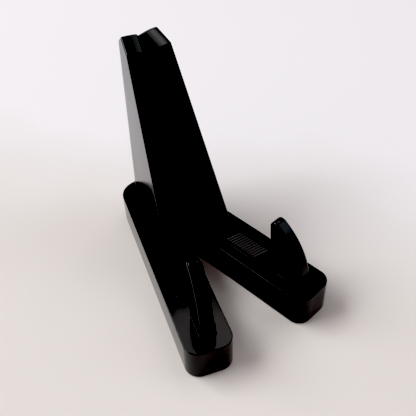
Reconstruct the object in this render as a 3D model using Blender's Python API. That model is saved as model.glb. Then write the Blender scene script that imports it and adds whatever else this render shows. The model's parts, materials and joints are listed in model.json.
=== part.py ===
"""Folding album stand: two mirrored plastic halves that open to a V on one upright hinge pin.

Each half is one moulding: a foot bar with a raised land, a tapered upright that leans back, a
hook at the foot's front that keeps an album from sliding off, and hinge knuckles on the
upright's inner face.
World frame: metres, +Z up, the front of the stand towards -Y, the table at z = 0.
"""
import math

import bmesh
import bpy

# ---- driving dimensions (metres, degrees) -------------------------------------------------
FOOT_WIDTH = 0.0140            # at its front; the outer side spreads a little to the heel
HEEL_WIDTH = 0.0148
FOOT_HEIGHT = 0.0106
FOOT_REACH = 0.0492            # hinge axis to the foot's front end
FOOT_HEEL = 0.0193             # hinge axis to the centre of the foot's round rear end
CORNER_RADIUS = 0.0042         # the foot's two front corners, in plan
LAND_HEIGHT = 0.0003           # a raised land on the foot, where the album's edge stands
LAND_SPAN = (0.0045, 0.0296)   # along the foot
LAND_EDGES = (0.0033, 0.0107)  # across the foot
LAND_CORNER = 0.0010
HALF_ANGLE = math.radians(12.8)  # each foot's angle to the middle plane when open
GAP = 0.0003                   # clearance between the two halves, and around the pin

UPRIGHT_INSET = 0.0042         # the foot's inner side to the upright's inner face
UPRIGHT_THICKNESS = 0.0048
UPRIGHT_BASE_REAR = -0.0262    # along the foot, measured forward from the hinge axis
UPRIGHT_BASE_FRONT = 0.0150
UPRIGHT_TOP_FRONT = (-0.0085, 0.0671)   # (forward, up)
UPRIGHT_PEAK = (-0.0141, 0.0700)
UPRIGHT_TOP_REAR = (-0.0184, 0.0672)
PEAK_RADIUS = 0.0008
REAR_RADIUS = 0.0016

HOOK_INSET = 0.0043            # the foot's inner side to the hook's inner face
HOOK_WIDTH = 0.0046            # across the foot, at the root
HOOK_TIP_WIDTH = 0.0040
HOOK_ROOT_REAR = 0.0357
HOOK_ROOT_FRONT = 0.0450
HOOK_TIP = (0.0342, 0.0276)    # centre of the hook's round end
HOOK_TIP_RADIUS = 0.0017

KNUCKLE_RADIUS = 0.0036
KNUCKLE_HEIGHT = 0.0041
KNUCKLE_COUNT = 5              # the left half has the odd ones, the right half the even ones
PIN_RADIUS = 0.0011
PIN_HEAD_RADIUS = 0.0020
PIN_HEAD_HEIGHT = 0.0009

SINK = 0.0010                  # how far joined shapes reach into each other
ARC_STEP = math.radians(6)     # one facet of a rounded outline

# ---- values worked out from them ----------------------------------------------------------
FRONT_EXTREME = ((FOOT_REACH - CORNER_RADIUS) * math.cos(HALF_ANGLE)
                 - CORNER_RADIUS * math.sin(HALF_ANGLE) + CORNER_RADIUS)
REAR_EXTREME = (FOOT_HEEL * math.cos(HALF_ANGLE)
                + HEEL_WIDTH / 2 * math.sin(HALF_ANGLE) + HEEL_WIDTH / 2)
HINGE_Y = (FRONT_EXTREME - REAR_EXTREME) / 2    # centres the stand on the world's origin
KNUCKLE_BASE = FOOT_HEIGHT + GAP
KNUCKLE_PITCH = KNUCKLE_HEIGHT + GAP
HINGE_TOP = KNUCKLE_BASE + KNUCKLE_COUNT * KNUCKLE_PITCH - GAP
BLIND_FLOOR = KNUCKLE_BASE + 0.0010             # the lowest knuckle is closed below the pin
LEFT, RIGHT = -1, 1


def clear_scene():
    for obj in list(bpy.data.objects):
        bpy.data.objects.remove(obj, do_unlink=True)


def make_material(name, colour, roughness, metallic=0.0):
    material = bpy.data.materials.new(name)
    material.use_nodes = True
    shader = material.node_tree.nodes["Principled BSDF"]
    shader.inputs["Base Color"].default_value = (*colour, 1.0)
    shader.inputs["Roughness"].default_value = roughness
    shader.inputs["Metallic"].default_value = metallic
    return material


def arc(centre, radius, start, end):
    """Points on an arc, both ends included, angles in radians."""
    steps = max(1, round(abs(end - start) / ARC_STEP))
    return [(centre[0] + radius * math.cos(start + (end - start) * i / steps),
             centre[1] + radius * math.sin(start + (end - start) * i / steps))
            for i in range(steps + 1)]


def bezier(p0, p1, p2, p3, steps):
    """Points on a cubic curve, without its first point."""
    points = []
    for i in range(1, steps + 1):
        t = i / steps
        weights = ((1 - t) ** 3, 3 * t * (1 - t) ** 2, 3 * t * t * (1 - t), t ** 3)
        points.append(tuple(sum(w * p[k] for w, p in zip(weights, (p0, p1, p2, p3)))
                            for k in range(2)))
    return points


def rounded_corner(before, corner, after, radius):
    """The arc that rounds a corner between two straight edges."""
    def unit(a, b):
        length = math.dist(a, b)
        return ((b[0] - a[0]) / length, (b[1] - a[1]) / length)
    back, ahead = unit(corner, before), unit(corner, after)
    half = math.acos(back[0] * ahead[0] + back[1] * ahead[1]) / 2
    reach = radius / math.sin(half)
    middle = ((back[0] + ahead[0]) / (2 * math.cos(half)), (back[1] + ahead[1]) / (2 * math.cos(half)))
    centre = (corner[0] + middle[0] * reach, corner[1] + middle[1] * reach)
    tangent = radius / math.tan(half)
    first = (corner[0] + back[0] * tangent, corner[1] + back[1] * tangent)
    last = (corner[0] + ahead[0] * tangent, corner[1] + ahead[1] * tangent)
    start = math.atan2(first[1] - centre[1], first[0] - centre[0])
    turn = math.atan2(last[1] - centre[1], last[0] - centre[0]) - start
    turn = (turn + math.pi) % (2 * math.pi) - math.pi
    return arc(centre, radius, start, start + turn)


def place(side, forward, outward, up):
    """A point of one half, from distances along its foot, across it and up, about the hinge."""
    sin, cos = math.sin(HALF_ANGLE), math.cos(HALF_ANGLE)
    return (side * (forward * sin + outward * cos), -forward * cos + outward * sin, up)


def new_object(name, side, vertices, faces, material):
    """A closed mesh whose origin stands on the hinge axis."""
    mesh = bpy.data.meshes.new(name)
    mesh.from_pydata([place(side, *v) for v in vertices], [], faces)
    work = bmesh.new()
    work.from_mesh(mesh)
    bmesh.ops.recalc_face_normals(work, faces=work.faces)
    work.to_mesh(mesh)
    work.free()
    mesh.materials.append(material)
    obj = bpy.data.objects.new(name, mesh)
    obj.location = (0.0, HINGE_Y, 0.0)
    bpy.context.scene.collection.objects.link(obj)
    return obj


def prism(name, side, lower, upper, material):
    """A solid between two outlines of the same number of points."""
    count = len(lower)
    faces = [list(range(count)), list(range(count, 2 * count))]
    for i in range(count):
        j = (i + 1) % count
        faces.append([i, j, count + j, count + i])
    return new_object(name, side, lower + upper, faces, material)


def plan_prism(name, side, outline, low, high, material):
    """An outline seen from above, given as (forward, outward), raised from low to high."""
    return prism(name, side, [(s, n, low) for s, n in outline],
                 [(s, n, high) for s, n in outline], material)


def helper(obj):
    obj.hide_render = True
    obj.display_type = "WIRE"
    return obj


def combine(target, tool, operation):
    modifier = target.modifiers.new(f"{operation.lower()}_{tool.name}", "BOOLEAN")
    modifier.operation = operation
    modifier.solver = "EXACT"
    modifier.object = tool


def foot_outline():
    """The foot from above: square front with round corners, round heel cut at the middle plane."""
    inner = GAP / 2
    sin, cos = math.sin(HALF_ANGLE), math.cos(HALF_ANGLE)
    front = FOOT_REACH - CORNER_RADIUS
    heel = (-FOOT_HEEL, HEEL_WIDTH / 2)
    heel_from_middle = heel[0] * sin + heel[1] * cos - GAP / 2
    heel_end = math.pi - HALF_ANGLE + math.asin(heel_from_middle / (HEEL_WIDTH / 2))
    outline = arc((front, inner + CORNER_RADIUS), CORNER_RADIUS, -math.pi / 2, 0)
    outline += arc((front, FOOT_WIDTH - CORNER_RADIUS), CORNER_RADIUS, 0, math.pi / 2)
    outline += arc(heel, HEEL_WIDTH / 2, math.pi / 2, heel_end)
    outline.append(((GAP / 2 - inner * cos) / sin, inner))
    return outline


def upright_outline():
    """The upright from the side, as (forward, up), with a low peak and its end in the foot."""
    base = FOOT_HEIGHT - SINK
    rear = (UPRIGHT_BASE_REAR, FOOT_HEIGHT)
    outline = [(UPRIGHT_BASE_REAR, base), (UPRIGHT_BASE_FRONT, base),
               (UPRIGHT_BASE_FRONT, FOOT_HEIGHT), UPRIGHT_TOP_FRONT]
    outline += rounded_corner(UPRIGHT_TOP_FRONT, UPRIGHT_PEAK, UPRIGHT_TOP_REAR, PEAK_RADIUS)
    outline += rounded_corner(UPRIGHT_PEAK, UPRIGHT_TOP_REAR, rear, REAR_RADIUS)
    outline.append(rear)
    return outline


def hook_outline():
    """The hook from the side: a claw with a bulging front, a round end and a hollow back."""
    base = FOOT_HEIGHT - SINK
    root_front, root_rear = (HOOK_ROOT_FRONT, FOOT_HEIGHT), (HOOK_ROOT_REAR, FOOT_HEIGHT)
    rise = HOOK_TIP[1] - FOOT_HEIGHT
    tip = arc(HOOK_TIP, HOOK_TIP_RADIUS, math.radians(55), math.radians(183))
    first, last = tip[0], tip[-1]
    outline = [(HOOK_ROOT_REAR, base), (HOOK_ROOT_FRONT, base), root_front]
    outline += bezier(root_front, (HOOK_ROOT_FRONT - 0.0002, FOOT_HEIGHT + 0.30 * rise),
                      (first[0] + 0.0075, first[1] - 0.0050), first, 14)
    outline += tip[1:]
    outline += bezier(last, (last[0] + 0.0001, last[1] - 0.0056),
                      (HOOK_ROOT_REAR - 0.0021, FOOT_HEIGHT + 0.0050), root_rear, 10)
    return outline


def make_foot(name, side, material):
    return plan_prism(name, side, foot_outline(), 0.0, FOOT_HEIGHT, material)


def make_land(side, material):
    """The raised land around the upright's front, ending short of the hook."""
    (rear, front), (inner, outer) = LAND_SPAN, LAND_EDGES
    corners = [(rear, inner), (front, inner), (front, outer), (rear, outer)]
    outline = []
    for i, corner in enumerate(corners):
        outline += rounded_corner(corners[i - 1], corner, corners[(i + 1) % 4], LAND_CORNER)
    return helper(plan_prism(f"land_shape_{side}", side, outline, FOOT_HEIGHT - SINK,
                             FOOT_HEIGHT + LAND_HEIGHT, material))


def make_upright(side, material):
    """The upright blade, its rear inner corner cut back to the middle plane."""
    inner, outer = UPRIGHT_INSET, UPRIGHT_INSET + UPRIGHT_THICKNESS
    outline = upright_outline()
    blade = prism(f"upright_shape_{side}", side, [(s, inner, z) for s, z in outline],
                  [(s, outer, z) for s, z in outline], material)
    sin, cos = math.sin(HALF_ANGLE), math.cos(HALF_ANGLE)
    far, deep = 0.1, 0.03

    def from_middle(along, across):
        """A point given along and across the middle plane, in this half's own directions."""
        return (-along * cos + across * sin, along * sin + across * cos)
    block = [from_middle(0, GAP / 2), from_middle(far, GAP / 2),
             from_middle(far, -deep), from_middle(0, -deep)]
    cutter = plan_prism(f"middle_plane_cutter_{side}", side, block, -deep, far, material)
    combine(blade, helper(cutter), "DIFFERENCE")
    return helper(blade)


def make_hook(side, material):
    taper = (HOOK_WIDTH - HOOK_TIP_WIDTH) / (HOOK_TIP[1] - FOOT_HEIGHT)
    outline = hook_outline()
    inner = [(s, HOOK_INSET, z) for s, z in outline]
    outer = [(s, HOOK_INSET + HOOK_WIDTH - taper * (z - FOOT_HEIGHT), z) for s, z in outline]
    return helper(prism(f"hook_shape_{side}", side, inner, outer, material))


def make_knuckle(side, index, material):
    """A round hinge eye on the axis, with a full-width web back to the upright."""
    low = KNUCKLE_BASE + index * KNUCKLE_PITCH
    root = UPRIGHT_INSET + SINK
    outline = arc((0.0, 0.0), KNUCKLE_RADIUS, math.pi, 2 * math.pi)
    outline += [(KNUCKLE_RADIUS, root), (-KNUCKLE_RADIUS, root)]
    return helper(plan_prism(f"knuckle_shape_{index}", side, outline, low,
                             low + KNUCKLE_HEIGHT, material))


def make_half(name, side, first_knuckle, bore_floor, material):
    half = make_foot(name, side, material)
    combine(half, make_land(side, material), "UNION")
    combine(half, make_upright(side, material), "UNION")
    combine(half, make_hook(side, material), "UNION")
    for index in range(first_knuckle, KNUCKLE_COUNT, 2):
        combine(half, make_knuckle(side, index, material), "UNION")
    circle = arc((0.0, 0.0), PIN_RADIUS + GAP, 0, 2 * math.pi)[:-1]
    bore = plan_prism(f"bore_cutter_{side}", side, circle, bore_floor, HINGE_TOP + SINK, material)
    combine(half, helper(bore), "DIFFERENCE")
    return half


def make_pin(material):
    """A plain pin with a low domed head, dropped into the knuckles from above."""
    low, seat = BLIND_FLOOR + GAP, HINGE_TOP + GAP
    profile = [(PIN_RADIUS - 0.0002, low), (PIN_RADIUS, low + 0.0002), (PIN_RADIUS, seat),
               (PIN_HEAD_RADIUS, seat), (PIN_HEAD_RADIUS, seat + 0.3 * PIN_HEAD_HEIGHT)]
    for angle in (30, 60):
        turn = math.radians(angle)
        profile.append((PIN_HEAD_RADIUS * math.cos(turn),
                        seat + PIN_HEAD_HEIGHT * (0.3 + 0.7 * math.sin(turn))))
    around = 24
    vertices, faces = [], []
    for radius, height in profile:
        for i in range(around):
            turn = 2 * math.pi * i / around
            vertices.append((radius * math.cos(turn), radius * math.sin(turn), height))
    for ring in range(len(profile) - 1):
        for i in range(around):
            j = (i + 1) % around
            faces.append([ring * around + i, ring * around + j,
                          (ring + 1) * around + j, (ring + 1) * around + i])
    crown = len(vertices)
    vertices.append((0.0, 0.0, seat + PIN_HEAD_HEIGHT))
    last = (len(profile) - 1) * around
    faces += [[last + i, last + (i + 1) % around, crown] for i in range(around)]
    faces.append(list(range(around)))
    pin = new_object("hinge_pin", RIGHT, vertices, faces, material)
    pin.data.shade_smooth()
    pin.data.set_sharp_from_angle(angle=math.radians(40))
    return pin


def main():
    clear_scene()
    black_plastic = make_material("black_plastic", (0.012, 0.012, 0.013), 0.22)
    steel = make_material("black_oxide_steel", (0.02, 0.02, 0.022), 0.35, 1.0)
    make_half("left_half", LEFT, 0, BLIND_FLOOR, black_plastic)
    make_half("right_half", RIGHT, 1, KNUCKLE_BASE - SINK, black_plastic)
    make_pin(steel)


main()
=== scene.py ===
"""Looks of the folding album stand: finely rounded plastic mouldings around the CAD frame.

Each half is built as one closed moulding that replaces its plain CAD half and rides on its body.
The hinge pin stays the CAD one, with a better material.
"""
import json
import math

import bmesh
import bpy
from mathutils import Matrix, Vector


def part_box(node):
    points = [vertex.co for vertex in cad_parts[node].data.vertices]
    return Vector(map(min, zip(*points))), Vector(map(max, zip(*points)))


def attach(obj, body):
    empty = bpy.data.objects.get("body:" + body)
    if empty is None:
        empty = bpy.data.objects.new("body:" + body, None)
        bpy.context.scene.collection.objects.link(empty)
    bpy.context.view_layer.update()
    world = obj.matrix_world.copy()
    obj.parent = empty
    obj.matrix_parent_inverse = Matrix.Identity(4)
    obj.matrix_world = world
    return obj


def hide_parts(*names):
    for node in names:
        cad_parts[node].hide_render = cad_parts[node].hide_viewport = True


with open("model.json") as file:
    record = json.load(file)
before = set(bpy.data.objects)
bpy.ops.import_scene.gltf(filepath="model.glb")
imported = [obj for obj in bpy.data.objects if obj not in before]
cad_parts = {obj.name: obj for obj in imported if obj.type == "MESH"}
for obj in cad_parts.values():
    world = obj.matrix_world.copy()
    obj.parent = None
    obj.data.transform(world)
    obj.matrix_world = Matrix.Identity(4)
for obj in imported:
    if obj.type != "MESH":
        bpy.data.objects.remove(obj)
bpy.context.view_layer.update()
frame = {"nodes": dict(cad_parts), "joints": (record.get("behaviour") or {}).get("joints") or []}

# ---- places taken from the frame ----------------------------------------------------------
FOLD = frame["joints"][0]
HINGE = Vector(FOLD["pos_m"])
HALF_ANGLE = math.radians(-FOLD["range_deg"][0] / 2)
PIN_LOW, PIN_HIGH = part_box("hinge_pin")
SIDES = {"left": -1, "right": 1}

# ---- the halves' sizes, in metres: s runs forward along a foot, n across it outward -------
GAP = 0.0003                        # clearance between the halves, and around the pin
FOOT_WIDTH = 0.0140                 # at the front; the outer side spreads to the heel
HEEL_WIDTH = 0.0148
REST_HEIGHT = 0.0109                # top of the raised land that the album's edge stands on
FOOT_REACH = 0.0492                 # hinge axis to the front end
FOOT_HEEL = 0.0193                  # hinge axis to the centre of the round rear end
CORNER_RADIUS = 0.0042              # the two front corners, in plan

LAND_STEP = 0.0003                  # the raised land along the foot's top
LAND_EDGES = (0.0033, 0.0107)
LAND_REACH = (0.0045, 0.0296)
LAND_CORNER = 0.0010

RIB_HEIGHT = 0.000070               # saw-toothed: a long ramp to the front, a steep back
RIB_WIDTH = 0.00058
RIB_FIRST, RIB_PITCH, RIB_COUNT = 0.0168, 0.00098, 12
RIB_MARGIN = 0.0008                 # the ribs end this far inside the land's sides
RIB_RUNOUT = 0.0004                 # each end sinks away over this length
RIB_END_SHARE = 0.3                 # to this share of the full height
RIB_TOE = 0.0002                    # the ramp goes on below the land by this much
RIB_BACK = 0.00004                  # the steep back's lean
RIB_BACK_DROP = 0.0001
RIB_ROOT = 0.0003                   # depth of a rib's hidden root

UPRIGHT_INSET = 0.0042
UPRIGHT_THICKNESS = 0.0048
UPRIGHT_BASE_REAR = -0.0262
UPRIGHT_BASE_FRONT = 0.0150
UPRIGHT_TOP_FRONT = (-0.0085, 0.0671)
UPRIGHT_PEAK = (-0.0141, 0.0700)
UPRIGHT_TOP_REAR = (-0.0184, 0.0672)
UPRIGHT_TOP_RADII = (0.0006, 0.0008, 0.0016)

HOOK_INSET = 0.0043
HOOK_WIDTH = 0.0046
HOOK_TIP_WIDTH = 0.0040
HOOK_ROOT_REAR = 0.0357
HOOK_ROOT_FRONT = 0.0450
HOOK_TIP = (0.0342, 0.0276)         # centre of its rounded end
HOOK_TIP_RADIUS = 0.0017

KNUCKLE_RADIUS = 0.0036
KNUCKLE_HEIGHT = 0.0041
KNUCKLE_COUNT = 5                   # the left half has the odd ones, the right half the even
PIN_SHARE = 0.55                    # the pin's width as a share of its head's

FOOT_SOLE_EDGE = 0.00040            # edge radii
FOOT_EDGE = 0.00025
LAND_EDGE = 0.00018
UPRIGHT_EDGE = 0.00045
HOOK_EDGE = 0.00085
KNUCKLE_EDGE = 0.0002
UPRIGHT_CROWN = 0.00011             # the moulded faces bulge a little between their edges
HOOK_FILLET = 0.0002                # hollow curve around the hook's root
ROOT_FILLET = 0.0010                # and around the upright's
REAR_SPREAD = 0.0003                # which stays this close to the upright's rear

SINK = 0.0015                       # how far joined shapes reach into each other
TUCK = 0.00004                      # how far a fillet's upper rim dips into its shape
FINE_STEP = math.radians(5)         # one facet of a rounded outline

KNUCKLE_BASE = REST_HEIGHT - LAND_STEP + GAP
KNUCKLE_PITCH = KNUCKLE_HEIGHT + GAP
HINGE_TOP = KNUCKLE_BASE + KNUCKLE_COUNT * KNUCKLE_PITCH - GAP
BODY_TOP = REST_HEIGHT - LAND_STEP


# ---- outlines -----------------------------------------------------------------------------
def arc(centre, radius, start, end):
    """Points on an arc, both ends included, angles in radians."""
    count = max(1, round(abs(end - start) / FINE_STEP))
    return [(centre[0] + radius * math.cos(start + (end - start) * i / count),
             centre[1] + radius * math.sin(start + (end - start) * i / count))
            for i in range(count + 1)]


def bezier(p0, p1, p2, p3, steps):
    """Points on a cubic curve, without its first point."""
    points = []
    for i in range(1, steps + 1):
        t = i / steps
        weights = ((1 - t) ** 3, 3 * t * (1 - t) ** 2, 3 * t * t * (1 - t), t ** 3)
        points.append(tuple(sum(w * p[k] for w, p in zip(weights, (p0, p1, p2, p3)))
                            for k in range(2)))
    return points


def rounded(corners):
    """A closed outline from (point, radius) corners, each turned by an arc."""
    outline = []
    for i, (corner, radius) in enumerate(corners):
        before, after = Vector(corners[i - 1][0]), Vector(corners[(i + 1) % len(corners)][0])
        here = Vector(corner)
        if radius <= 0:
            outline.append(tuple(here))
            continue
        back, ahead = (before - here).normalized(), (after - here).normalized()
        half = back.angle(ahead) / 2
        centre = here + (back + ahead).normalized() * radius / math.sin(half)
        first = here + back * radius / math.tan(half) - centre
        last = here + ahead * radius / math.tan(half) - centre
        start = math.atan2(first.y, first.x)
        turn = (math.atan2(last.y, last.x) - start + math.pi) % (2 * math.pi) - math.pi
        outline += arc(centre, radius, start, start + turn)
    return outline


def shifted(outline, distance):
    """A counter-clockwise outline moved inward by a distance."""
    moved = []
    for i, point in enumerate(outline):
        here = Vector(point)
        into = (here - Vector(outline[i - 1])).normalized()
        away = (Vector(outline[(i + 1) % len(outline)]) - here).normalized()
        normals = Vector((-into.y, into.x)), Vector((-away.y, away.x))
        middle = (normals[0] + normals[1]).normalized()
        moved.append(tuple(here + middle * distance / max(0.3, middle.dot(normals[0]))))
    return moved


def foot_outline():
    """The foot from above: square front with round corners, round heel cut at the middle."""
    sin, cos = math.sin(HALF_ANGLE), math.cos(HALF_ANGLE)
    inner = GAP / 2
    front = FOOT_REACH - CORNER_RADIUS
    heel = (-FOOT_HEEL, HEEL_WIDTH / 2)
    from_middle = heel[0] * sin + heel[1] * cos - GAP / 2
    heel_end = math.pi - HALF_ANGLE + math.asin(from_middle / (HEEL_WIDTH / 2))
    outline = arc((front, inner + CORNER_RADIUS), CORNER_RADIUS, -math.pi / 2, 0)
    outline += arc((front, FOOT_WIDTH - CORNER_RADIUS), CORNER_RADIUS, 0, math.pi / 2)
    outline += arc(heel, HEEL_WIDTH / 2, math.pi / 2, heel_end)
    outline.append(((GAP / 2 - inner * cos) / sin, inner))
    return outline


def upright_outline():
    """The upright from the side, as (s, z), with a low peak and its end sunk in the foot."""
    base = REST_HEIGHT - SINK
    front, peak, rear = UPRIGHT_TOP_RADII
    return rounded([((UPRIGHT_BASE_REAR, base), 0), ((UPRIGHT_BASE_FRONT, base), 0),
                    ((UPRIGHT_BASE_FRONT, REST_HEIGHT), 0), (UPRIGHT_TOP_FRONT, front),
                    (UPRIGHT_PEAK, peak), (UPRIGHT_TOP_REAR, rear),
                    ((UPRIGHT_BASE_REAR, REST_HEIGHT), 0)])


def upright_span(height):
    """The upright's rear and front at a height."""
    def along(low, high):
        share = (height - REST_HEIGHT) / (high[1] - REST_HEIGHT)
        return low + (high[0] - low) * share
    return (along(UPRIGHT_BASE_REAR, UPRIGHT_TOP_REAR),
            along(UPRIGHT_BASE_FRONT, UPRIGHT_TOP_FRONT))


def hook_outline():
    """A claw: a bulging front, a round end that leans back, and a hollow back."""
    front_turn, rear_turn = math.radians(55), math.radians(183)
    tip = arc(HOOK_TIP, HOOK_TIP_RADIUS, front_turn, rear_turn)
    rise = HOOK_TIP[1] - REST_HEIGHT
    root_front, root_rear = (HOOK_ROOT_FRONT, REST_HEIGHT), (HOOK_ROOT_REAR, REST_HEIGHT)
    front = bezier(root_front, (HOOK_ROOT_FRONT - 0.0002, REST_HEIGHT + 0.30 * rise),
                   (tip[0][0] + 0.0075, tip[0][1] - 0.0050), tip[0], 28)
    back = bezier(tip[-1], (tip[-1][0] + 0.0001, tip[-1][1] - 0.0056),
                  (HOOK_ROOT_REAR - 0.0021, REST_HEIGHT + 0.0050), root_rear, 20)
    base = REST_HEIGHT - SINK
    return ([(HOOK_ROOT_REAR, base), (HOOK_ROOT_FRONT, base), root_front]
            + front + tip[1:] + back)


def hook_outer(height):
    """How far across the foot the hook's tapered outer face lies at a height."""
    taper = (HOOK_WIDTH - HOOK_TIP_WIDTH) / (HOOK_TIP[1] - REST_HEIGHT)
    return HOOK_INSET + HOOK_WIDTH - taper * (height - REST_HEIGHT)


# ---- solids -------------------------------------------------------------------------------
def place(side, s, n, z):
    """The world point at s along a half's foot, n across it and z up."""
    sin, cos = math.sin(HALF_ANGLE), math.cos(HALF_ANGLE)
    return (HINGE.x + side * (s * sin + n * cos), HINGE.y - s * cos + n * sin, z)


def solid(name, rings, to_world):
    """A closed mesh lofted through rings of (u, v, w) points with equal counts."""
    count = len(rings[0])
    mesh = bmesh.new()
    levels = [[mesh.verts.new(to_world(*point)) for point in ring] for ring in rings]
    for low, high in zip(levels, levels[1:]):
        for i in range(count):
            j = (i + 1) % count
            mesh.faces.new((low[i], low[j], high[j], high[i]))
    mesh.faces.new(list(reversed(levels[0])))
    mesh.faces.new(levels[-1])
    bmesh.ops.recalc_face_normals(mesh, faces=mesh.faces)
    data = bpy.data.meshes.new(name)
    mesh.to_mesh(data)
    mesh.free()
    obj = bpy.data.objects.new(name, data)
    bpy.context.scene.collection.objects.link(obj)
    return obj


def edge_profile(low, high, low_radius, high_radius, crown=0.0, steps=5):
    """(inset, level) pairs that round both rims of a prism, with a slight bulge between them."""
    pairs = []
    for i in range(steps, 0, -1):
        turn = math.pi / 2 * i / steps
        pairs.append((low_radius * (1 - math.cos(turn)), low + low_radius * (1 - math.sin(turn))))
    first, last = low + low_radius, high - high_radius
    across = 10 if crown else 1
    pairs += [(0.0, first + (last - first) * i / across) for i in range(across + 1)]
    for i in range(1, steps + 1):
        turn = math.pi / 2 * i / steps
        pairs.append((high_radius * (1 - math.cos(turn)),
                      high - high_radius * (1 - math.sin(turn))))
    middle, half = (low + high) / 2, (high - low) / 2
    return [(inset + crown * ((level - middle) / half) ** 2, level) for inset, level in pairs]


def rounded_prism(name, outline, low, high, radii, to_world, crown=0.0):
    """An outline raised from low to high, with rims of the two radii."""
    rings = [[(u, v, level) for u, v in shifted(outline, inset)]
             for inset, level in edge_profile(low, high, *radii, crown)]
    return solid(name, rings, to_world)


def plan_map(side):
    """For outlines seen from above: (s, n), raised along z."""
    return lambda s, n, z: place(side, s, n, z)


def side_map(side):
    """For outlines seen from the side: (s, z), raised along n."""
    return lambda s, z, n: place(side, s, n, z)


def hook_map(side):
    """Across the hook, w runs from 0 on its inner face to 1 on its tapered outer face."""
    def to_world(s, z, w):
        return place(side, s, HOOK_INSET + (hook_outer(z) - HOOK_INSET) * w / HOOK_WIDTH, z)
    return to_world


def base_fillet(name, side, section, edge, radius):
    """A hollow curve around a shape's root. section(z) gives its (rear, front, inner, outer)."""
    rings = []
    steps = 6
    for i in range(-1, steps + 1):
        turn = math.pi / 2 * max(i, 0) / steps
        height = REST_HEIGHT - LAND_STEP - (SINK if i < 0 else 0) + radius * (1 - math.cos(turn))
        rear, front, inner, outer = section(max(height, REST_HEIGHT))
        spread = radius * (1 - math.sin(turn)) - (TUCK if i == steps else 0)
        corner = edge + max(spread, 0)
        behind = min(spread, REAR_SPREAD)
        ring = rounded([((rear - behind, inner - spread), corner),
                        ((front + spread, inner - spread), corner),
                        ((front + spread, outer + spread), corner),
                        ((rear - behind, outer + spread), corner)])
        rings.append([(s, n, height) for s, n in ring])
    return solid(name, rings, plan_map(side))


def middle_plane_block(side):
    """Everything beyond the middle plane, seen from one half."""
    far, low, high = 0.1, -0.01, 0.1
    inner, outer = GAP / 2 * side, -far * side
    corners = [(inner, HINGE.y - SINK), (inner, far), (outer, far), (outer, HINGE.y - SINK)]
    if side > 0:
        corners.reverse()
    return solid("middle_plane_block", [[(x, y, low) for x, y in corners],
                                        [(x, y, high) for x, y in corners]],
                 lambda x, y, z: (x, y, z))


def boolean(target, tool, operation):
    """Joins or cuts a closed mesh by another, at once, and removes the other."""
    modifier = target.modifiers.new("boolean", "BOOLEAN")
    modifier.operation = operation
    modifier.solver = "MANIFOLD"    # the exact solver leaves broken edges around the hook
    modifier.object = tool
    bpy.context.view_layer.update()
    evaluated = target.evaluated_get(bpy.context.evaluated_depsgraph_get())
    joined = bpy.data.meshes.new_from_object(evaluated)
    target.modifiers.clear()
    target.data = joined
    bpy.data.objects.remove(tool)


def make_foot(side):
    """The foot bar with its raised land."""
    foot = rounded_prism("foot", foot_outline(), 0.0, BODY_TOP, (FOOT_SOLE_EDGE, FOOT_EDGE),
                         plan_map(side))
    rear, front = LAND_REACH
    inner, outer = LAND_EDGES
    band = rounded([((rear, inner), LAND_CORNER), ((front, inner), LAND_CORNER),
                    ((front, outer), LAND_CORNER), ((rear, outer), LAND_CORNER)])
    land = rounded_prism("land", band, BODY_TOP - SINK, REST_HEIGHT, (0.0, LAND_EDGE),
                         plan_map(side))
    boolean(foot, land, "UNION")
    return foot


def add_ribs(foot, side):
    """A patch of fine saw-toothed ribs across the land, parallel to an album on the open feet."""
    lean = math.tan(HALF_ANGLE)
    for index in range(RIB_COUNT):
        rings = []
        inner, outer = LAND_EDGES[0] + RIB_MARGIN, LAND_EDGES[1] - RIB_MARGIN
        for n in (inner, inner + RIB_RUNOUT, outer - RIB_RUNOUT, outer):
            tall = RIB_END_SHARE if n in (inner, outer) else 1.0
            centre = RIB_FIRST + index * RIB_PITCH + (n - FOOT_WIDTH / 2) * lean
            front, rear = centre + RIB_WIDTH / 2, centre - RIB_WIDTH / 2
            top = REST_HEIGHT + RIB_HEIGHT * tall
            rings.append([(front + RIB_TOE, n, top - RIB_HEIGHT * (1 + RIB_TOE / RIB_WIDTH)),
                          (rear, n, top), (rear - RIB_BACK, n, top - RIB_BACK_DROP),
                          (rear - RIB_BACK, n, REST_HEIGHT - RIB_ROOT),
                          (front + RIB_TOE, n, REST_HEIGHT - RIB_ROOT)])
        boolean(foot, solid("rib", rings, plan_map(side)), "UNION")


def make_upright(side):
    """The upright blade with its root's hollow curve, cut back to the middle plane."""
    inner, outer = UPRIGHT_INSET, UPRIGHT_INSET + UPRIGHT_THICKNESS
    upright = rounded_prism("upright", upright_outline(), inner, outer,
                            (UPRIGHT_EDGE, UPRIGHT_EDGE), side_map(side), UPRIGHT_CROWN)
    skirt = base_fillet("skirt", side, lambda z: (*upright_span(z), inner, outer),
                        UPRIGHT_EDGE, ROOT_FILLET)
    boolean(upright, skirt, "UNION")
    boolean(upright, middle_plane_block(side), "DIFFERENCE")
    return upright


def make_hook(side):
    """The front claw with its root's hollow curve."""
    hook = rounded_prism("hook", hook_outline(), 0.0, HOOK_WIDTH, (HOOK_EDGE, HOOK_EDGE),
                         hook_map(side))
    skirt = base_fillet("skirt", side, lambda z: (HOOK_ROOT_REAR, HOOK_ROOT_FRONT, HOOK_INSET,
                                                  hook_outer(z)), HOOK_EDGE, HOOK_FILLET)
    boolean(hook, skirt, "UNION")
    return hook


def make_knuckle(side, index):
    """A round hinge eye on the axis, with a web back to the upright."""
    low = KNUCKLE_BASE + index * KNUCKLE_PITCH
    root = UPRIGHT_INSET + SINK
    outline = arc((0.0, 0.0), KNUCKLE_RADIUS, math.pi, 2 * math.pi)
    outline += [(KNUCKLE_RADIUS, root), (-KNUCKLE_RADIUS, root)]
    return rounded_prism("knuckle", outline, low, low + KNUCKLE_HEIGHT,
                         (KNUCKLE_EDGE, KNUCKLE_EDGE), plan_map(side))


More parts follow.
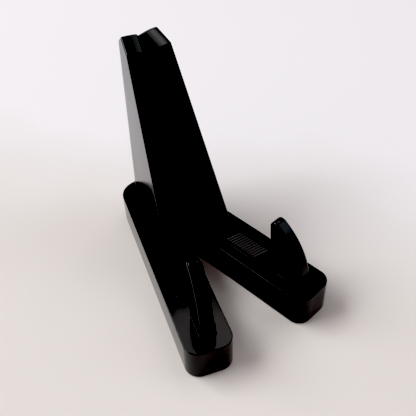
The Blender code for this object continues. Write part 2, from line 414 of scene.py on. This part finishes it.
def make_bore(side, bottom):
    """The pin's hole through the knuckles, from a bottom up."""
    radius = (PIN_HIGH.x - PIN_LOW.x) / 2 * PIN_SHARE + GAP
    circle = arc((0.0, 0.0), radius, 0, 2 * math.pi)[:-1]
    return solid("bore", [[(s, n, z) for s, n in circle] for z in (bottom, HINGE_TOP + SINK)],
                 plan_map(side))


def crisp_levels(obj):
    """Keeps every level face truly level in the shading, right up to its rounded rims."""
    mesh = bmesh.new()
    mesh.from_mesh(obj.data)
    for edge in mesh.edges:
        level = {abs(face.normal.z) > 0.99999 for face in edge.link_faces}
        if len(level) == 2:
            edge.smooth = False
    mesh.to_mesh(obj.data)
    mesh.free()


def finish_surface(obj, material):
    """Smooth shading with crisp flats: rounded edges turn the light, flats stay flat."""
    obj.data.materials.clear()
    obj.data.materials.append(material)
    obj.data.shade_smooth()
    obj.data.set_sharp_from_angle(angle=math.radians(50))
    crisp_levels(obj)
    weighted = obj.modifiers.new("weighted_normals", "WEIGHTED_NORMAL")
    weighted.keep_sharp = True
    weighted.weight = 50


def make_half(word, material):
    """One whole moulding, riding on its body in place of the CAD half."""
    side = SIDES[word]
    half = make_foot(side)
    if word == "right":
        add_ribs(half, side)
    boolean(half, make_upright(side), "UNION")
    boolean(half, make_hook(side), "UNION")
    first = 0 if word == "left" else 1
    for index in range(first, KNUCKLE_COUNT, 2):
        boolean(half, make_knuckle(side, index), "UNION")
    bottom = PIN_LOW.z - GAP if word == "left" else KNUCKLE_BASE - SINK
    boolean(half, make_bore(side, bottom), "DIFFERENCE")
    half.name = f"{word}_moulding"
    finish_surface(half, material)
    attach(half, word)
    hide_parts(f"{word}_half")
    return half


# ---- materials ----------------------------------------------------------------------------
class Nodes:
    """A short way to write a node tree."""

    def __init__(self, name):
        self.material = bpy.data.materials.new(name)
        self.material.use_nodes = True
        self.tree = self.material.node_tree
        self.shader = self.tree.nodes["Principled BSDF"]
        self.position = self.add("ShaderNodeTexCoord").outputs["Object"]

    def add(self, kind, **values):
        node = self.tree.nodes.new(kind)
        for key, value in values.items():
            if hasattr(node, key):
                setattr(node, key, value)
            else:
                node.inputs[key.replace("_", " ")].default_value = value
        return node

    def link(self, source, target):
        self.tree.links.new(source, target)

    def noise(self, scale, detail=2.0, rough=0.5):
        node = self.add("ShaderNodeTexNoise", Scale=scale, Detail=detail, Roughness=rough)
        self.link(self.position, node.inputs["Vector"])
        return node.outputs["Fac"]

    def remap(self, source, low, high, to_low, to_high):
        node = self.add("ShaderNodeMapRange")
        for key, value in (("From Min", low), ("From Max", high), ("To Min", to_low),
                           ("To Max", to_high)):
            node.inputs[key].default_value = value
        self.link(source, node.inputs["Value"])
        return node.outputs["Result"]

    def sum(self, first, second):
        node = self.add("ShaderNodeMath", operation="ADD")
        for socket, value in zip(node.inputs, (first, second)):
            self.link(value, socket)
        return node.outputs["Value"]

    def mix(self, share, first, second):
        node = self.add("ShaderNodeMix", data_type="RGBA")
        self.link(share, node.inputs["Factor"])
        for socket, colour in zip((node.inputs[6], node.inputs[7]), (first, second)):
            socket.default_value = (*colour, 1.0)
        return node.outputs[2]

    def bump(self, height, strength, distance, after=None):
        node = self.add("ShaderNodeBump", Strength=strength, Distance=distance)
        self.link(height, node.inputs["Height"])
        if after is not None:
            self.link(after, node.inputs["Normal"])
        return node.outputs["Normal"]


def plastic_material():
    """Glossy black moulded plastic: faint flow marks, hazy patches and a very fine grain."""
    n = Nodes("gloss_black_plastic")
    n.shader.inputs["IOR"].default_value = 1.37
    flow = n.noise(90.0, 3.0)
    haze = n.noise(35.0, 4.0, 0.6)
    grain = n.noise(6500.0, 2.0)
    colour = n.mix(n.remap(flow, 0.35, 0.65, 0, 1),
                   (0.0008, 0.0018, 0.0036), (0.0015, 0.0026, 0.0046))
    n.link(colour, n.shader.inputs["Base Color"])
    rough = n.remap(haze, 0.3, 0.7, 0.11, 0.18)
    n.link(rough, n.shader.inputs["Roughness"])
    peel = n.bump(n.noise(420.0, 2.0), 0.012, 0.0004)
    fine = n.bump(grain, 0.02, 0.00002, peel)
    n.link(fine, n.shader.inputs["Normal"])
    return n.material


def steel_material():
    """Black-oxide steel: dark, with slightly worn, warmer spots."""
    n = Nodes("black_oxide_steel")
    n.shader.inputs["Metallic"].default_value = 1.0
    spots = n.noise(2500.0, 3.0)
    colour = n.mix(n.remap(spots, 0.4, 0.7, 0, 1), (0.020, 0.020, 0.023), (0.035, 0.032, 0.030))
    n.link(colour, n.shader.inputs["Base Color"])
    n.link(n.remap(spots, 0.3, 0.7, 0.28, 0.42), n.shader.inputs["Roughness"])
    n.link(n.bump(n.noise(5000.0, 2.0), 0.15, 0.00002), n.shader.inputs["Normal"])
    return n.material


def table_material():
    """Pale paper with painted shade: lighter and cooler at the back right, darker and warmer
    towards the front left, standing in for the light falling off across the table.
    """
    n = Nodes("pale_table")
    parts = n.add("ShaderNodeSeparateXYZ")
    n.link(n.position, parts.inputs["Vector"])
    wander = n.remap(n.noise(9.0, 2.0), 0.3, 0.7, -0.03, 0.03)
    across = n.sum(parts.outputs["X"], parts.outputs["Y"])
    back = n.remap(n.sum(across, wander), 0.0, 0.10, 0.0, 1.0)
    # painted shade: the paper's colour turns darker and warmer towards the front left, in place
    # of the light falling off there
    tone_with_painted_shade = n.mix(back, (0.760, 0.71, 0.688), (0.87, 0.84, 0.87))
    n.link(tone_with_painted_shade, n.shader.inputs["Base Color"])
    n.shader.inputs["Roughness"].default_value = 0.7
    n.shader.inputs["Specular IOR Level"].default_value = 0.2
    n.link(n.bump(n.noise(900.0, 2.0), 0.05, 0.0002), n.shader.inputs["Normal"])
    return n.material


# ---- stage --------------------------------------------------------------------------------
# Parts of the room: towards, full within (degrees), gone beyond (degrees), light colour.
# Overhead, the two pale walls on the left, then two small windows on the right.
ROOM = (
    ((0.0, 0.0, 1.0), 25, 100, (0.16, 0.155, 0.155)),
    ((-0.75, -0.45, 0.50), 20, 65, (0.38, 0.32, 0.31)),
    ((-0.85, 0.45, 0.25), 20, 60, (0.34, 0.31, 0.31)),
    ((0.40, 0.085, 0.913), 7, 16, (1.42, 1.45, 1.42)),
    ((0.66, -0.40, 0.64), 6, 22, (1.35, 1.42, 1.50)),
)
BACKDROP = (0.83, 0.80, 0.83, 1.0)
BLACK_LEVEL = 0.034                 # tones darker than this come out black
FLOOR_HALF_SIZE = 3.0

# Soft boxes: place, size across and up, power, colour.
SOFT_BOXES = {
    "key": ((-1.93, 1.73, 2.78), (3.20, 1.60), 129.0, (0.965, 1.0, 1.0)),
    "ceiling": ((0.648, 0.583, 1.342), (1.10, 0.21), 1.70, (1.0, 0.94, 0.91)),
}

CAMERA_FROM_HINGE = (-0.0615, -0.120675, 0.1376)
CAMERA_ANGLES = (-30.69, 41.84, -2.4)   # azimuth, elevation and roll, in degrees
CAMERA_LENS = 49.64                     # mm, on a 36 mm sensor


def make_floor():
    size = FLOOR_HALF_SIZE
    data = bpy.data.meshes.new("floor")
    data.from_pydata([(-size, -size, 0), (size, -size, 0), (size, size, 0), (-size, size, 0)],
                     [], [(0, 1, 2, 3)])
    floor = bpy.data.objects.new("floor", data)
    bpy.context.scene.collection.objects.link(floor)
    data.materials.append(table_material())


def area_light(name, place_at, size, power, colour):
    data = bpy.data.lights.new(name, "AREA")
    data.shape = "RECTANGLE"
    data.size, data.size_y = size
    data.energy = power
    data.color = colour
    light = bpy.data.objects.new(name, data)
    light.location = place_at
    light.rotation_mode = "QUATERNION"
    light.rotation_quaternion = (-Vector(place_at)).to_track_quat("-Z", "Y")
    bpy.context.scene.collection.objects.link(light)


def make_world():
    """A soft dark room with paler parts, and a plain pale backdrop behind everything."""
    world = bpy.data.worlds.new("studio")
    world.use_nodes = True
    tree = world.node_tree
    tree.nodes.clear()
    direction = tree.nodes.new("ShaderNodeTexCoord").outputs["Generated"]

    def lobe(towards, inner, outer, colour):
        """Light from around one direction, full within one angle and gone beyond another."""
        dot = tree.nodes.new("ShaderNodeVectorMath")
        dot.operation = "DOT_PRODUCT"
        tree.links.new(direction, dot.inputs[0])
        dot.inputs[1].default_value = Vector(towards).normalized()
        share = tree.nodes.new("ShaderNodeMapRange")
        share.interpolation_type = "SMOOTHSTEP"
        share.inputs["From Min"].default_value = math.cos(math.radians(outer))
        share.inputs["From Max"].default_value = math.cos(math.radians(inner))
        tree.links.new(dot.outputs["Value"], share.inputs["Value"])
        scaled = tree.nodes.new("ShaderNodeVectorMath")
        scaled.operation = "SCALE"
        scaled.inputs[0].default_value = colour
        tree.links.new(share.outputs["Result"], scaled.inputs["Scale"])
        return scaled.outputs["Vector"]

    total = None
    for values in ROOM:
        part = lobe(*values)
        if total is None:
            total = part
            continue
        both = tree.nodes.new("ShaderNodeVectorMath")
        both.operation = "ADD"
        tree.links.new(total, both.inputs[0])
        tree.links.new(part, both.inputs[1])
        total = both.outputs["Vector"]
    room = tree.nodes.new("ShaderNodeBackground")
    tree.links.new(total, room.inputs["Color"])
    backdrop = tree.nodes.new("ShaderNodeBackground")
    backdrop.inputs["Color"].default_value = BACKDROP
    seen = tree.nodes.new("ShaderNodeLightPath")
    mixed = tree.nodes.new("ShaderNodeMixShader")
    tree.links.new(seen.outputs["Is Camera Ray"], mixed.inputs["Fac"])
    tree.links.new(room.outputs["Background"], mixed.inputs[1])
    tree.links.new(backdrop.outputs["Background"], mixed.inputs[2])
    output = tree.nodes.new("ShaderNodeOutputWorld")
    tree.links.new(mixed.outputs["Shader"], output.inputs["Surface"])
    bpy.context.scene.world = world


def make_camera():
    """Looks down on the stand from its front left, as from a hand-held camera."""
    azimuth, elevation, roll = (math.radians(angle) for angle in CAMERA_ANGLES)
    data = bpy.data.cameras.new("camera")
    data.sensor_width = 36.0
    data.lens = CAMERA_LENS
    data.clip_start, data.clip_end = 0.01, 20.0
    camera = bpy.data.objects.new("camera", data)
    back = Vector((math.sin(azimuth) * math.cos(elevation),
                   -math.cos(azimuth) * math.cos(elevation), math.sin(elevation)))
    camera.location = HINGE + Vector(CAMERA_FROM_HINGE)
    turn = (-back).to_track_quat("-Z", "Y").to_matrix() @ Matrix.Rotation(roll, 3, "Z")
    camera.rotation_mode = "QUATERNION"
    camera.rotation_quaternion = turn.to_quaternion()
    bpy.context.scene.collection.objects.link(camera)
    bpy.context.scene.camera = camera


def make_lights():
    """The soft boxes, and a plain view transform with a slight black level."""
    for name, values in SOFT_BOXES.items():
        area_light(name, *values)
    view = bpy.context.scene.view_settings
    view.view_transform = "Standard"
    view.use_curve_mapping = True
    view.curve_mapping.black_level = (BLACK_LEVEL,) * 3
    view.curve_mapping.update()


plastic = plastic_material()
make_half("left", plastic)
make_half("right", plastic)
pin = frame["nodes"]["hinge_pin"]
pin.data.materials.clear()
pin.data.materials.append(steel_material())
make_floor()
make_world()
make_lights()
make_camera()
